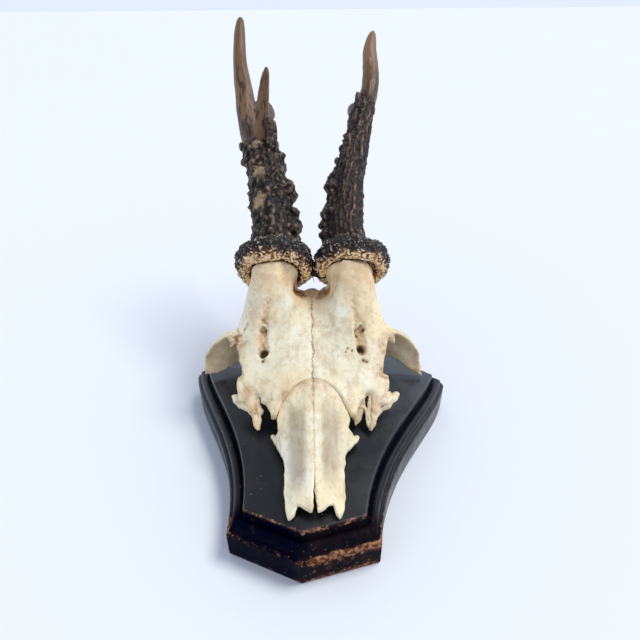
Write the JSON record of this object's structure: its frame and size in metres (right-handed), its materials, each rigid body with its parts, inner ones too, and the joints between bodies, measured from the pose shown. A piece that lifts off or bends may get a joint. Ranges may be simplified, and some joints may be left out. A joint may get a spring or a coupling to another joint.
{
  "type": "roe deer antler trophy on a shield plaque",
  "caption": "Sawn roe deer skull cap with both antlers, broken snout bones and knobbly burrs, on a black moulded shield plaque that lies on its back.",
  "frame": {"origin": "on the shield's flat back face, on its middle line, 47.8 mm from the foot of its point", "axes": "+Z out of the shield's front, +Y along its middle line from the nose towards the antlers, +X to the right seen from the nose end"},
  "size_m": [0.1114, 0.2248, 0.1502],
  "materials": {
    "black_paint": "black semi-gloss paint on red-brown wood, worn through at the near edges",
    "bone": "dry ivory bone, satin, tan stains along its sutures and rims",
    "burr": "knobbly antler, black in the hollows and pale tan on the knobs",
    "antler_bark": "rough dark brown antler with lighter ridges",
    "antler_tine": "smooth polished brown antler with darker streaks"
  },
  "bodies": {
    "root": {"plaque": "black_paint", "skull_cap": "bone", "nasal_left": "bone", "nasal_right": "bone", "maxilla_left": "bone", "maxilla_right": "bone", "lacrimal_left": "bone", "lacrimal_right": "bone", "burr_left": "burr", "burr_right": "burr", "beam_left": "antler_bark", "beam_right": "antler_bark", "main_tine_left": "antler_tine", "main_tine_right": "antler_tine", "front_tine_left": "antler_tine", "front_tine_right": "antler_tine", "rear_tine_left": "antler_tine", "rear_tine_right": "antler_tine"}
  },
  "joints": []
}
